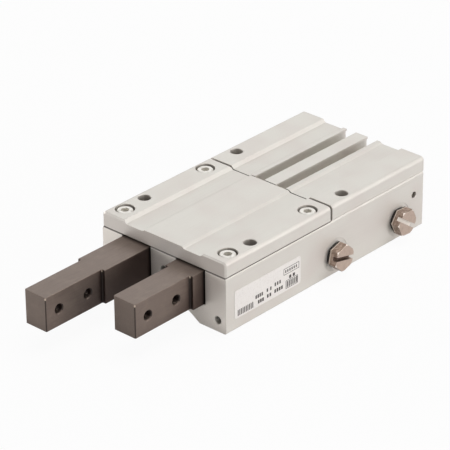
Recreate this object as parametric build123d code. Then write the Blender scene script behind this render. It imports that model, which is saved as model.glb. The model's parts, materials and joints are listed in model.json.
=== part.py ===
from build123d import *
from math import sqrt
import os

# A double-finger pneumatic escapement: two short cylinders side by side in one extruded aluminium
# housing, each sliding a square steel finger out of the front.
# X runs across the housing, Y from the front to the rear, and Z up.
# The origin is the middle of the four mounting holes, on the underside. Sizes are millimetres.

# Housing section, the same from the front to the rear
side_wall = 6.85
channel_floor_z = 5.9
top_edge_radius = 1.0
bottom_edge_radius = 0.5
land_width = 7.5
groove_depth = 0.85
groove_wall_run = 0.9
centre_land_drop = 0.35
centre_wall_run = 0.75
foot_width = 8.9
recess_depth = 2.2
recess_wall_run = 3.5
seam_notch_height = 0.8
seam_notch_depth = 0.3
front_seam_height = 0.5
front_seam_depth = 0.15

# Two T-slots in the rear top, which hold the position switches
slot_rib_width = 4.0
slot_mouth_width = 3.25
slot_undercut = 0.35
slot_edge_width = 1.15
slot_lip = 0.6
slot_depth = 3.6

# Cover plate over the finger channels, with a narrow gap behind it
plate_length = 39.9
plate_thickness = 4.3
plate_gap = 0.35
plate_corner_chamfer = 0.4

# Socket head cap screws that hold the plate
screw_side_inset = 3.5
screw_front_inset = 4.65
screw_rear_inset = 5.3
screw_radius = 1.25
screw_length = 10.0
screw_head_radius = 2.15
screw_head_height = 2.5
screw_head_chamfer = 0.2
screw_socket_width = 2.0
screw_socket_depth = 1.3
screw_clearance = 0.15
screw_head_clearance = 0.45
screw_head_drop = 0.3
thread_clearance = 0.03
thread_spare = 0.6

# Four mounting holes through the housing
mount_side_inset = 3.0
mount_front_inset = 12.3
mount_pitch_y = 35.0
mount_hole_radius = 1.7
mount_hole_chamfer = 0.15

# Small tapped holes in the front face
front_hole_radius = 1.05
front_hole_depth = 5.0
front_hole_chamfer = 0.2
front_hole_side_inset = 2.8
front_hole_z = 3.1

# Fingers and the channels that guide them
finger_pitch = 18.4
finger_width = 9.2
finger_height = 9.5
finger_length = 55.0
finger_side_clearance = 0.35
finger_top_clearance = 0.2
finger_floor_clearance = 0.1
tip_width = 7.2
tip_length = 19.5
tip_fillet = 0.3
tip_corner_chamfer = 0.25
finger_edge_break = 0.1
finger_hole_radius = 1.25
finger_hole_inset = 4.5
finger_hole_pitch = 10.0
finger_hole_chamfer = 0.25
finger_rear_gap = 1.0
channel_length = 32.5
stroke = 12.0

# Cylinders behind the channels
bore_radius = 6.0
bore_above_floor = 3.6
gland_step = 0.8
gland_shoulder = 0.9
rod_hole_radius = 3.6
running_clearance = 0.05
seal_clearance = 0.03

# Rod and its hook in the finger
rod_radius = 3.0
rod_neck_radius = 1.8
rod_neck_length = 1.9
rod_head_radius = 2.6
rod_head_length = 1.6
hook_lip = 1.5
hook_clearance = 0.1

# Piston, its magnet and nut
boss_radius = 4.0
boss_length = 2.2
piston_length = 6.0
piston_groove_inset = 2.0
piston_groove_width = 1.9
piston_seal_thickness = 1.3
magnet_length = 3.0
magnet_drop = 0.4
retainer_thickness = 1.0
spigot_radius = 1.5
nut_width = 4.5
nut_thickness = 2.0
rod_end_spare = 0.2
stop_gap = 0.2

# Rod cover, a bush in the gland
rod_cover_length = 6.0
rod_seal_thickness = 1.25
rod_seal_length = 2.0
rod_bumper_thickness = 1.0
rod_bumper_clearance = 0.4
rod_cover_groove_inset = 1.2
cover_seal_thickness = 0.9
cover_seal_width = 1.2

# Head cover and what holds it
head_cover_length = 6.0
head_bumper_radius = 4.0
head_bumper_thickness = 1.2
head_pocket_depth = 0.5
head_groove_inset = 2.2
ring_groove_inset = 2.1
ring_groove_width = 1.1
ring_groove_radius = 6.6
ring_thickness = 1.0
ring_clearance = 0.1
ring_band = 1.1
ring_gap_width = 2.4
ring_lug_radius = 1.1
ring_lug_hole_radius = 0.45

# Ports, drilled from both sides
port_radius = 2.1
port_below_bore = 3.9
port_floor_wall = 1.0
front_port_offset = 1.2
rear_port_offset = 0.9
passage_radius = 1.0
spot_face_radius = 4.5
spot_face_depth = 0.1

# Plugs in the right-hand ports
plug_width = 6.5
plug_head_thickness = 2.8
plug_head_chamfer = 0.3
plug_corner_turn = 30.0
plug_slot_width = 1.1
plug_slot_depth = 1.3
plug_stub_length = 3.5
plug_stub_chamfer = 0.3
gasket_band = 1.1
gasket_thickness = 0.5
front_plug_turn = -13.0
rear_plug_turn = -35.0

# Drilling closed by a ball, near the rear right corner
ball_radius = 0.9
ball_hole_depth = 4.0
ball_drop = 0.25
ball_above_bore = 0.8
ball_rear_inset = 3.8

# Places across the housing, worked out from the sizes above
cylinder_x = finger_pitch / 2
channel_width = finger_width + 2 * finger_side_clearance
side_x = cylinder_x + channel_width / 2 + side_wall
body_width = 2 * side_x
slot_x = (slot_rib_width + slot_mouth_width) / 2
centre_land_x = slot_rib_width / 2 + slot_mouth_width + slot_edge_width

# Heights, from the underside up
finger_floor_z = channel_floor_z + finger_floor_clearance
finger_top_z = finger_floor_z + finger_height
plate_seat_z = finger_top_z + finger_top_clearance
body_height = plate_seat_z + plate_thickness
centre_land_z = body_height - centre_land_drop
finger_middle_z = finger_floor_z + finger_height / 2
bore_z = channel_floor_z + bore_above_floor
port_z = bore_z - port_below_bore

# Places from the front to the rear, with the fingers in
front_y = -(mount_front_inset + mount_pitch_y / 2)
plate_end_y = front_y + plate_length
step_y = plate_end_y + plate_gap
channel_end_y = front_y + channel_length
finger_rear_y = channel_end_y - finger_rear_gap
gland_front_y = channel_end_y + gland_shoulder
rod_cover_rear_y = gland_front_y + rod_cover_length
bore_front_y = rod_cover_rear_y + rod_bumper_thickness
boss_front_y = bore_front_y + stop_gap + stroke
piston_front_y = boss_front_y + boss_length
magnet_front_y = piston_front_y + piston_length
retainer_front_y = magnet_front_y + magnet_length
nut_front_y = retainer_front_y + retainer_thickness
rod_end_y = nut_front_y + nut_thickness + rod_end_spare
head_bumper_front_y = rod_end_y + stop_gap
head_bumper_rear_y = head_bumper_front_y + head_bumper_thickness
head_cover_front_y = head_bumper_rear_y - head_pocket_depth
ring_groove_front_y = head_cover_front_y + head_cover_length
rear_y = ring_groove_front_y + ring_groove_width + ring_groove_inset
front_port_y = bore_front_y + front_port_offset
rear_port_y = head_cover_front_y - rear_port_offset
ball_y = rear_y - ball_rear_inset

# Radii that follow from the bore
gland_radius = bore_radius - gland_step
piston_radius = bore_radius - running_clearance
piston_groove_radius = bore_radius - piston_seal_thickness
cover_radius = gland_radius - running_clearance


def turned(outline, x=0.0, z=0.0):
    """A solid turned about a line along Y through x and z, from points of (radius, y)."""
    face = make_face(Polyline(*outline, close=True))
    return Pos(x, 0, z) * revolve(face, Axis.Y)


def ring(outer_radius, inner_radius, start_y, end_y, x=0.0, z=0.0):
    """A plain ring about a line along Y; an inner radius of zero gives a solid bar."""
    corners = [
        (inner_radius, start_y),
        (outer_radius, start_y),
        (outer_radius, end_y),
        (inner_radius, end_y),
    ]
    return turned(corners, x, z)


def upright(radius, bottom_z, top_z, x, y):
    """A bar standing along Z."""
    height = top_z - bottom_z
    return Pos(x, y, bottom_z + height / 2) * Cylinder(radius, height)


def crosswise(radius, start_x, end_x, y, z):
    """A bar lying along X."""
    length = abs(end_x - start_x)
    return Pos((start_x + end_x) / 2, y, z) * Rot(0, 90, 0) * Cylinder(radius, length)


def block(start, end):
    """A box between two opposite corners."""
    size = [abs(b - a) for a, b in zip(start, end)]
    middle = [(a + b) / 2 for a, b in zip(start, end)]
    return Pos(*middle) * Box(*size)


def both_sides(sketch):
    """A sketch with its mirror image on the other side of the middle plane."""
    return sketch + mirror(sketch, about=Plane.YZ)


def screw_places():
    """Middles of the four cover screws."""
    screw_x = side_x - screw_side_inset
    rows = (front_y + screw_front_inset, plate_end_y - screw_rear_inset)
    return [(side * screw_x, y) for side in (-1, 1) for y in rows]


def mount_places():
    """Middles of the four mounting holes."""
    hole_x = side_x - mount_side_inset
    return [(side * hole_x, end * mount_pitch_y / 2) for side in (-1, 1) for end in (-1, 1)]


def top_hollow():
    """The shallow hollow between the two lands, with the lower land along its middle."""
    land_x = side_x - land_width
    half = [
        (land_x, body_height),
        (land_x - groove_wall_run, body_height - groove_depth),
        (centre_land_x + centre_wall_run, body_height - groove_depth),
        (centre_land_x, centre_land_z),
    ]
    other_half = [(-x, z) for x, z in reversed(half)]
    return make_face(Polyline(*half, *other_half, close=True))


def bottom_recess():
    """The recess under the housing, between its two feet."""
    foot_x = side_x - foot_width
    wall_x = foot_x - recess_wall_run
    corners = [(foot_x, 0), (wall_x, recess_depth), (-wall_x, recess_depth), (-foot_x, 0)]
    return make_face(Polyline(*corners, close=True))


def seam_notches():
    """The V grooves along both sides, level with the underside of the plate."""
    half_height = seam_notch_height / 2
    corners = [
        (side_x, plate_seat_z - half_height),
        (side_x - seam_notch_depth, plate_seat_z),
        (side_x, plate_seat_z + half_height),
    ]
    return both_sides(make_face(Polyline(*corners, close=True)))


def front_seam():
    """The V groove across the front, where the plate meets the housing."""
    half_height = front_seam_height / 2
    corners = [
        (front_y, plate_seat_z - half_height),
        (front_y + front_seam_depth, plate_seat_z),
        (front_y, plate_seat_z + half_height),
    ]
    return extrude(Plane.YZ * make_face(Polyline(*corners, close=True)), amount=side_x, both=True)


def switch_slots():
    """The two T-slots on each side of the middle rib."""
    floor_z = centre_land_z - slot_depth
    inside_height = slot_depth - slot_lip
    mouth = Pos(slot_x, centre_land_z - slot_depth / 2) * Rectangle(slot_mouth_width, slot_depth)
    inside = Pos(slot_x, floor_z + inside_height / 2) * Rectangle(
        slot_mouth_width + 2 * slot_undercut, inside_height
    )
    return both_sides(mouth + inside)


def housing_section():
    """The extruded section, seen from the front, without its T-slots."""
    outline = Pos(0, body_height / 2) * Rectangle(body_width, body_height)
    outline = fillet(outline.vertices().group_by(Axis.Y)[-1], top_edge_radius)
    outline = fillet(outline.vertices().group_by(Axis.Y)[0], bottom_edge_radius)
    return outline - top_hollow() - bottom_recess() - seam_notches()


def extruded(section, start_y, end_y):
    """A section drawn on X and Z, extruded along Y."""
    return extrude(Plane.XZ.offset(-end_y) * section, amount=end_y - start_y)


def side_spot_and_port(side, y):
    """One port with its spot face and the passage into its cylinder."""
    face_x = side * side_x
    floor_x = side * (cylinder_x + bore_radius + port_floor_wall)
    port = crosswise(port_radius, face_x, floor_x, y, port_z)
    spot = crosswise(spot_face_radius, face_x, face_x - side * spot_face_depth, y, port_z)
    passage = crosswise(passage_radius, floor_x, side * cylinder_x, y, port_z)
    return port + spot + passage


def cylinder_cut(x):
    """Everything bored along Y for one cylinder, from its rod hole to the rear face."""
    rod_hole = ring(rod_hole_radius, 0, channel_end_y, gland_front_y, x, bore_z)
    gland = ring(gland_radius, 0, gland_front_y, bore_front_y, x, bore_z)
    bore = ring(bore_radius, 0, bore_front_y, rear_y, x, bore_z)
    groove_end_y = ring_groove_front_y + ring_groove_width
    ring_groove = ring(ring_groove_radius, 0, ring_groove_front_y, groove_end_y, x, bore_z)
    return rod_hole + gland + bore + ring_groove


def finger_channel(x):
    """The channel for one finger, open at the front and under the plate."""
    half = channel_width / 2
    return block((x - half, front_y, channel_floor_z), (x + half, channel_end_y, plate_seat_z))


def front_hole(x, z):
    """One of the small tapped holes in the front face, with its countersink."""
    chamfer_end_y = front_y + front_hole_chamfer
    end_y = front_y + front_hole_depth
    outline = [
        (0, front_y),
        (front_hole_radius + front_hole_chamfer, front_y),
        (front_hole_radius, chamfer_end_y),
        (front_hole_radius, end_y),
        (0, end_y),
    ]
    return turned(outline, x, z)


def make_housing():
    """The extruded housing with its milled step, channels, bores, ports and holes."""
    housing = extruded(housing_section() - switch_slots(), front_y, rear_y)
    housing -= block((-side_x, front_y, plate_seat_z), (side_x, step_y, body_height))
    housing -= front_seam()
    for side in (-1, 1):
        housing -= finger_channel(side * cylinder_x)
        housing -= cylinder_cut(side * cylinder_x)
        housing -= side_spot_and_port(side, front_port_y)
        housing -= side_spot_and_port(side, rear_port_y)
        housing -= front_hole(side * (side_x - front_hole_side_inset), front_hole_z)
    housing -= front_hole(0, finger_middle_z)
    thread_floor_z = body_height - screw_head_drop - screw_head_height - screw_length - thread_spare
    for x, y in screw_places():
        housing -= upright(screw_radius + thread_clearance, thread_floor_z, plate_seat_z, x, y)
    for x, y in mount_places():
        housing -= upright(mount_hole_radius, 0, body_height, x, y)
        if y > step_y:
            housing -= countersink_at(x, y, body_height)
    ball_z = bore_z + ball_above_bore
    return housing - crosswise(ball_radius, side_x - ball_hole_depth, side_x, ball_y, ball_z)


def countersink_at(x, y, top_z):
    """The small countersink at the top of a mounting hole."""
    wide = mount_hole_radius + mount_hole_chamfer
    middle_z = top_z - mount_hole_chamfer / 2
    return Pos(x, y, middle_z) * Cone(mount_hole_radius, wide, mount_hole_chamfer)


def make_cover_plate():
    """The plate over the channels, with the housing's own section above its seat."""
    plate = extruded(housing_section(), front_y, plate_end_y)
    plate -= block((-side_x, front_y, 0), (side_x, plate_end_y, plate_seat_z))
    corners = plate.edges().filter_by(Axis.Z).group_by(Axis.X)
    plate = chamfer(corners[0] + corners[-1], plate_corner_chamfer) - front_seam()
    recess_z = body_height - screw_head_drop - screw_head_height
    for x, y in screw_places():
        plate -= upright(screw_radius + screw_clearance, plate_seat_z, body_height, x, y)
        recess_radius = screw_head_radius + screw_head_clearance
        plate -= upright(recess_radius, recess_z, body_height, x, y)
    for x, y in mount_places():
        if y < plate_end_y:
            plate -= upright(mount_hole_radius, plate_seat_z, body_height, x, y)
            plate -= countersink_at(x, y, body_height)
    return plate


def make_cover_screw(x, y):
    """A socket head cap screw with its head in the plate."""
    top_z = body_height - screw_head_drop
    under_head_z = top_z - screw_head_height
    head = upright(screw_head_radius, under_head_z, top_z, x, y)
    head = chamfer(head.edges().group_by(Axis.Z)[-1], screw_head_chamfer)
    shank = upright(screw_radius, under_head_z - screw_length, under_head_z, x, y)
    hexagon = RegularPolygon(screw_socket_width / 2, 6, major_radius=False)
    socket = extrude(Pos(x, y, top_z - screw_socket_depth) * hexagon, amount=screw_socket_depth)
    return head + shank - socket


def make_finger(x):
    """A square finger with a narrower tip, two tapped cross holes and a hook slot at its rear."""
    tip_y = finger_rear_y - finger_length
    step_y = tip_y + tip_length
    half = [
        (tip_width / 2, tip_y),
        (tip_width / 2, step_y),
        (finger_width / 2, step_y),
        (finger_width / 2, finger_rear_y),
    ]
    other_half = [(-side, y) for side, y in reversed(half)]
    outline = make_face(Polyline(*half, *other_half, close=True))
    inner_corners = [v for v in outline.vertices() if v.Y == step_y and abs(v.X) < finger_width / 2]
    outline = fillet(inner_corners, tip_fillet)
    tip_corners = outline.vertices().group_by(Axis.Y)[0]
    outline = chamfer(tip_corners, tip_corner_chamfer)
    finger = extrude(Pos(x, 0, finger_floor_z) * outline, amount=finger_height)
    levels = finger.edges().group_by(Axis.Z)
    finger = chamfer(levels[0] + levels[-1], finger_edge_break)
    half_tip = tip_width / 2
    wide = finger_hole_radius + finger_hole_chamfer
    for number in (0, 1):
        hole_y = tip_y + finger_hole_inset + number * finger_hole_pitch
        finger -= crosswise(
            finger_hole_radius, x - half_tip, x + half_tip, hole_y, finger_middle_z
        )
        for side in (-1, 1):
            mouth_x = x + side * (half_tip - finger_hole_chamfer / 2)
            countersink = Cone(finger_hole_radius, wide, finger_hole_chamfer)
            finger -= Pos(mouth_x, hole_y, finger_middle_z) * Rot(0, side * 90, 0) * countersink
    return finger - hook_slot(x)


def hook_slot(x):
    """The slot in the finger's rear that the rod's head drops into from above."""
    lip_front_y = finger_rear_y - hook_lip
    head_front_y = lip_front_y - rod_head_length - 2 * hook_clearance
    neck_room = rod_neck_radius + hook_clearance
    head_room = rod_head_radius + hook_clearance
    neck = ring(neck_room, 0, lip_front_y, finger_rear_y, x, bore_z)
    neck += block((x - neck_room, lip_front_y, bore_z), (x + neck_room, finger_rear_y, finger_top_z))
    head = ring(head_room, 0, head_front_y, lip_front_y, x, bore_z)
    head += block((x - head_room, head_front_y, bore_z), (x + head_room, lip_front_y, finger_top_z))
    return neck + head


def make_piston_rod(x):
    """The rod, from its hook head in the finger to its spigot through the piston."""
    head_rear_y = finger_rear_y - hook_lip - hook_clearance
    head_front_y = head_rear_y - rod_head_length
    neck_rear_y = head_rear_y + rod_neck_length
    outline = [
        (0, head_front_y),
        (rod_head_radius, head_front_y),
        (rod_head_radius, head_rear_y),
        (rod_neck_radius, head_rear_y),
        (rod_neck_radius, neck_rear_y),
        (rod_radius, neck_rear_y),
        (rod_radius, boss_front_y),
        (spigot_radius, boss_front_y),
        (spigot_radius, rod_end_y),
        (0, rod_end_y),
    ]
    return turned(outline, x, bore_z)


def make_piston(x):
    """The piston, with its stop boss in front and its seal groove."""
    groove_y = piston_front_y + piston_groove_inset
    outline = [
        (spigot_radius, boss_front_y),
        (boss_radius, boss_front_y),
        (boss_radius, piston_front_y),
        (piston_radius, piston_front_y),
        (piston_radius, groove_y),
        (piston_groove_radius, groove_y),
        (piston_groove_radius, groove_y + piston_groove_width),
        (piston_radius, groove_y + piston_groove_width),
        (piston_radius, magnet_front_y),
        (spigot_radius, magnet_front_y),
    ]
    return turned(outline, x, bore_z)


def make_piston_seal(x):
    """The piston seal: a ring with a V groove in its front face, as a lip seal has."""
    front = piston_front_y + piston_groove_inset + seal_clearance
    rear = front + piston_groove_width - 2 * seal_clearance
    outer = bore_radius - seal_clearance
    middle = (outer + piston_groove_radius) / 2
    outline = [
        (piston_groove_radius, front),
        (middle, (front + rear) / 2),
        (outer, front),
        (outer, rear),
        (piston_groove_radius, rear),
    ]
    return turned(outline, x, bore_z)


def make_piston_nut(x):
    """The hexagon nut on the end of the rod."""
    hexagon = RegularPolygon(nut_width / 2, 6, major_radius=False) - Circle(spigot_radius)
    end_y = nut_front_y + nut_thickness
    return Pos(x, 0, bore_z) * extruded(hexagon, nut_front_y, end_y)


def make_rod_cover(x):
    """The gland bush, with a seal groove round it and a rod seal pocket at its rear."""
    bush_radius = rod_radius + running_clearance
    pocket_radius = rod_radius + seal_clearance + rod_seal_thickness
    pocket_y = rod_cover_rear_y - rod_seal_length
    groove_y = gland_front_y + rod_cover_groove_inset
    groove_radius = gland_radius - cover_seal_thickness
    outline = [
        (bush_radius, gland_front_y),
        (cover_radius, gland_front_y),
        (cover_radius, groove_y),
        (groove_radius, groove_y),
        (groove_radius, groove_y + cover_seal_width),
        (cover_radius, groove_y + cover_seal_width),
        (cover_radius, rod_cover_rear_y),
        (pocket_radius, rod_cover_rear_y),
        (pocket_radius, pocket_y),
        (bush_radius, pocket_y),
    ]
    return turned(outline, x, bore_z)


def make_rod_seal(x):
    """The seal round the rod, with a V groove towards the pressure side."""
    inner = rod_radius + seal_clearance
    outer = inner + rod_seal_thickness
    front = rod_cover_rear_y - rod_seal_length
    middle = (inner + outer) / 2
    outline = [
        (inner, front),
        (outer, front),
        (outer, rod_cover_rear_y),
        (middle, (front + rod_cover_rear_y) / 2),
        (inner, rod_cover_rear_y),
    ]
    return turned(outline, x, bore_z)


def cover_seal(outer_radius, groove_y, x):
    """The square seal ring in a cover's groove, up to the bore that it seals."""
    inner_radius = outer_radius - cover_seal_thickness
    return ring(outer_radius, inner_radius, groove_y, groove_y + cover_seal_width, x, bore_z)


def make_head_cover(x):
    """The rear cover, with a bumper pocket in front and a seal groove round it."""
    groove_y = head_cover_front_y + head_groove_inset
    groove_radius = bore_radius - cover_seal_thickness
    outline = [
        (0, head_bumper_rear_y),
        (head_bumper_radius, head_bumper_rear_y),
        (head_bumper_radius, head_cover_front_y),
        (piston_radius, head_cover_front_y),
        (piston_radius, groove_y),
        (groove_radius, groove_y),
        (groove_radius, groove_y + cover_seal_width),
        (piston_radius, groove_y + cover_seal_width),
        (piston_radius, ring_groove_front_y),
        (0, ring_groove_front_y),
    ]
    return turned(outline, x, bore_z)


def make_retaining_ring(x):
    """An internal retaining ring, open at the top between two lugs with plier holes."""
    outer = ring_groove_radius - ring_clearance
    lug_z = outer - ring_lug_radius
    band = Circle(outer) - Circle(outer - ring_band)
    band -= Pos(0, outer) * Rectangle(ring_gap_width, 2 * outer)
    lug_x = ring_gap_width / 2 + ring_lug_radius
    inner_lug_z = lug_z - ring_lug_hole_radius - ring_band
    lug = Pos(lug_x, inner_lug_z) * Circle(ring_lug_radius)
    lug += Pos(lug_x, (inner_lug_z + lug_z) / 2) * Rectangle(
        2 * ring_lug_radius, lug_z - inner_lug_z
    )
    hole = Pos(lug_x, inner_lug_z) * Circle(ring_lug_hole_radius)
    outline = band + (both_sides(lug) & Circle(outer)) - both_sides(hole)
    rear = ring_groove_front_y + ring_thickness
    return Pos(x, 0, bore_z) * extruded(outline, ring_groove_front_y, rear)


def make_port_plug(y, turn):
    """A hexagon plug with a screwdriver slot, its threaded stub in the port."""
    hexagon = RegularPolygon(plug_width / 2, 6, major_radius=False, rotation=plug_corner_turn)
    corner_radius = plug_width / sqrt(3)
    head = extrude(hexagon, amount=plug_head_thickness)
    rim = Pos(0, 0, plug_head_thickness / 2) * Cylinder(corner_radius, plug_head_thickness)
    head &= chamfer(rim.edges().group_by(Axis.Z)[-1], plug_head_chamfer)
    slot = Pos(0, 0, plug_head_thickness) * Box(
        2 * plug_width, plug_slot_width, 2 * plug_slot_depth
    )
    stub_radius = port_radius - thread_clearance
    stub_length = plug_stub_length + gasket_thickness
    stub = Pos(0, 0, -stub_length / 2) * Cylinder(stub_radius, stub_length)
    stub = chamfer(stub.edges().group_by(Axis.Z)[0], plug_stub_chamfer)
    plug = Rot(0, 0, turn) * (head - slot) + stub
    under_head_x = side_x - spot_face_depth + gasket_thickness
    seat = Plane(origin=(under_head_x, y, port_z), x_dir=(0, 1, 0), z_dir=(1, 0, 0))
    return seat * plug


def make_gasket(y):
    """The sealing ring between a plug's head and the spot face."""
    seat_x = side_x - spot_face_depth
    gasket_radius = port_radius + gasket_band
    outer = crosswise(gasket_radius, seat_x, seat_x + gasket_thickness, y, port_z)
    return outer - crosswise(port_radius, seat_x, seat_x + gasket_thickness, y, port_z)


def make_passage_ball():
    """The ball pressed into the drilling near the rear right corner."""
    ball_x = side_x - ball_drop - ball_radius
    return Pos(ball_x, ball_y, bore_z + ball_above_bore) * Sphere(ball_radius - thread_clearance)


def fixed_cylinder_parts(x):
    """The pieces of one cylinder that stay in the housing."""
    rod_cover_groove_y = gland_front_y + rod_cover_groove_inset
    head_cover_groove_y = head_cover_front_y + head_groove_inset
    bumper_inner = rod_radius + rod_bumper_clearance
    return {
        "rod_cover": make_rod_cover(x),
        "rod_cover_seal": cover_seal(gland_radius, rod_cover_groove_y, x),
        "rod_seal": make_rod_seal(x),
        "rod_bumper": ring(cover_radius, bumper_inner, rod_cover_rear_y, bore_front_y, x, bore_z),
        "head_bumper": ring(
            head_bumper_radius, 0, head_bumper_front_y, head_bumper_rear_y, x, bore_z
        ),
        "head_cover": make_head_cover(x),
        "head_cover_seal": cover_seal(bore_radius, head_cover_groove_y, x),
        "retaining_ring": make_retaining_ring(x),
    }


def moving_parts(x):
    """The pieces of one cylinder that slide together, where the finger is fully in."""
    magnet_radius = piston_radius - magnet_drop
    return {
        "finger": make_finger(x),
        "piston_rod": make_piston_rod(x),
        "piston": make_piston(x),
        "piston_seal": make_piston_seal(x),
        "magnet": ring(magnet_radius, spigot_radius, magnet_front_y, retainer_front_y, x, bore_z),
        "magnet_retainer": ring(
            piston_radius, spigot_radius, retainer_front_y, nut_front_y, x, bore_z
        ),
        "piston_nut": make_piston_nut(x),
    }


def make_parts():
    """Every piece by name, with the left finger out and the right finger in."""
    parts = {
        "housing": make_housing(),
        "guide_cover_plate": make_cover_plate(),
        "cover_screws": Compound(children=[make_cover_screw(x, y) for x, y in screw_places()]),
        "port_plug_front": make_port_plug(front_port_y, front_plug_turn),
        "port_plug_rear": make_port_plug(rear_port_y, rear_plug_turn),
        "port_gasket_front": make_gasket(front_port_y),
        "port_gasket_rear": make_gasket(rear_port_y),
        "passage_ball": make_passage_ball(),
    }
    for side_name, x, travel in (("left", -cylinder_x, -stroke), ("right", cylinder_x, 0)):
        for name, piece in fixed_cylinder_parts(x).items():
            parts[side_name + "_" + name] = piece
        for name, piece in moving_parts(x).items():
            parts[side_name + "_" + name] = Pos(0, travel, 0) * piece
    return parts


os.makedirs("parts", exist_ok=True)
for name, piece in make_parts().items():
    export_step(piece, os.path.join("parts", name + ".step"))
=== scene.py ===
"""The looks of a double-finger pneumatic escapement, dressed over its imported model.

Lengths are metres in the model's own frame: X runs across the housing, Y from the front to the
rear and Z up from the underside.
"""

import json
import logging
import math
from abc import ABC, abstractmethod
from dataclasses import dataclass, field
from enum import Enum
from typing import Callable, Mapping, Sequence, Union

import bpy
from mathutils import Matrix, Vector


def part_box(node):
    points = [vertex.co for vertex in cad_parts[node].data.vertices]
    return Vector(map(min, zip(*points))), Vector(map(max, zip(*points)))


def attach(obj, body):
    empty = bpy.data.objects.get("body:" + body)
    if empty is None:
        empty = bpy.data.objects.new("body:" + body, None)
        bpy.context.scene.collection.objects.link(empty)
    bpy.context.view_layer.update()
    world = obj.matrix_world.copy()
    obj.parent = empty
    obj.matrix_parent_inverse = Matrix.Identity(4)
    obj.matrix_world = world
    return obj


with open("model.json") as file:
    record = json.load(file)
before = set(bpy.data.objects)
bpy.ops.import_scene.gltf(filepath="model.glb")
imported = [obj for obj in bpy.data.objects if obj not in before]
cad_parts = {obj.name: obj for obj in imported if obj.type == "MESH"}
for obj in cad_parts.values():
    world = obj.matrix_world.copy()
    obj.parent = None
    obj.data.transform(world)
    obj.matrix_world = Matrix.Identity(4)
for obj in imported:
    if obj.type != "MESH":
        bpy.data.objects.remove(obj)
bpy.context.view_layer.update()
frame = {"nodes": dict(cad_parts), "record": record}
MM = 0.001
LOG = logging.getLogger("escapement")

Colour = tuple[float, float, float]
Triple = tuple[float, float, float]
Rise = tuple[float, float]


def tone(red: int, green: int, blue: int) -> Colour:
    """Turns a colour as a screen shows it into the linear colour that a shader takes.

    Args:
        red: Red from 0 to 255.
        green: Green from 0 to 255.
        blue: Blue from 0 to 255.

    Returns:
        The linear colour.
    """
    shares = [part / 255 for part in (red, green, blue)]
    return tuple(s / 12.92 if s <= 0.04045 else ((s + 0.055) / 1.055) ** 2.4 for s in shares)


class Body(str, Enum):
    """The bodies that pieces ride on."""

    HOUSING = "housing_body"
    LEFT_FINGER = "left_finger_unit"
    RIGHT_FINGER = "right_finger_unit"


class Lay(Enum):
    """The way that a surface's fine lines run, as how much longer a mark is along X, Y and Z."""

    EXTRUDED = (1.0, 90.0, 1.0)
    GROUND_LENGTHWISE = (1.0, 25.0, 1.0)
    BLASTED = (1.0, 1.0, 1.0)


@dataclass(frozen=True)
class Marks:
    """Soft marks of one kind on a surface, such as stains or grinding lines.

    Attributes:
        width: The width of a mark, in metres.
        strength: How strongly their colour shows, or zero where they have none.
        rise: The noise at which a mark begins, and that at which it is full.
        lay: The way that they run.
        detail: How many finer layers they have.
    """

    width: float
    strength: float = 0.0
    rise: Rise = (0.45, 0.8)
    lay: Lay = Lay.BLASTED
    detail: float = 2.0


@dataclass(frozen=True)
class Hollows:
    """Holes, corners and gaps of one size, which take painted shade.

    Attributes:
        reach: How near their walls are, in metres.
        strength: How strongly their painted shade shows.
        rise: The share of walls about a point at which the colour starts to show, and that at
            which it is full.
    """

    reach: float
    strength: float
    rise: Rise


class Value:
    """What a socket in a node tree gives. Arithmetic on numbers adds Math nodes."""

    def __init__(self, graph: "Graph", socket: bpy.types.NodeSocket) -> None:
        """Keeps the tree under construction and the socket."""
        self.graph = graph
        self.socket = socket

    def _math(self, operation: str, first: "Number", second: "Number") -> "Value":
        """Adds one Math node of an operation on two numbers."""
        inputs = {0: first, 1: second}
        return self.graph.node("ShaderNodeMath", {"operation": operation}, inputs)

    def __add__(self, other: "Number") -> "Value":
        """Adds a number."""
        return self._math("ADD", self, other)

    def __sub__(self, other: "Number") -> "Value":
        """Takes a number away."""
        return self._math("SUBTRACT", self, other)

    def __rsub__(self, other: "Number") -> "Value":
        """Is taken away from a number."""
        return self._math("SUBTRACT", other, self)

    def __mul__(self, other: "Number") -> "Value":
        """Multiplies by a number."""
        return self._math("MULTIPLY", self, other)

    def __truediv__(self, other: "Number") -> "Value":
        """Divides by a number."""
        return self._math("DIVIDE", self, other)

    def __pow__(self, other: "Number") -> "Value":
        """Raises to a power."""
        return self._math("POWER", self, other)

    __radd__ = __add__
    __rmul__ = __mul__

    def above(self, limit: "Number") -> "Value":
        """One where this number is over the limit, and zero elsewhere."""
        return self._math("GREATER_THAN", self, limit)

    def largest(self, other: "Number") -> "Value":
        """The larger of this number and another."""
        return self._math("MAXIMUM", self, other)

    def size(self) -> "Value":
        """This number without its sign."""
        return self._math("ABSOLUTE", self, 0.0)

    def spread(self, low: float, high: float) -> "Value":
        """Zero at low and below, one at high and above, and a smooth rise between them."""
        inputs = {"Value": self, "From Min": low, "From Max": high}
        return self.graph.node("ShaderNodeMapRange", {"interpolation_type": "SMOOTHSTEP"}, inputs)


Number = Union[Value, float]
Given = Union[Value, float, Sequence[float]]


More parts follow.
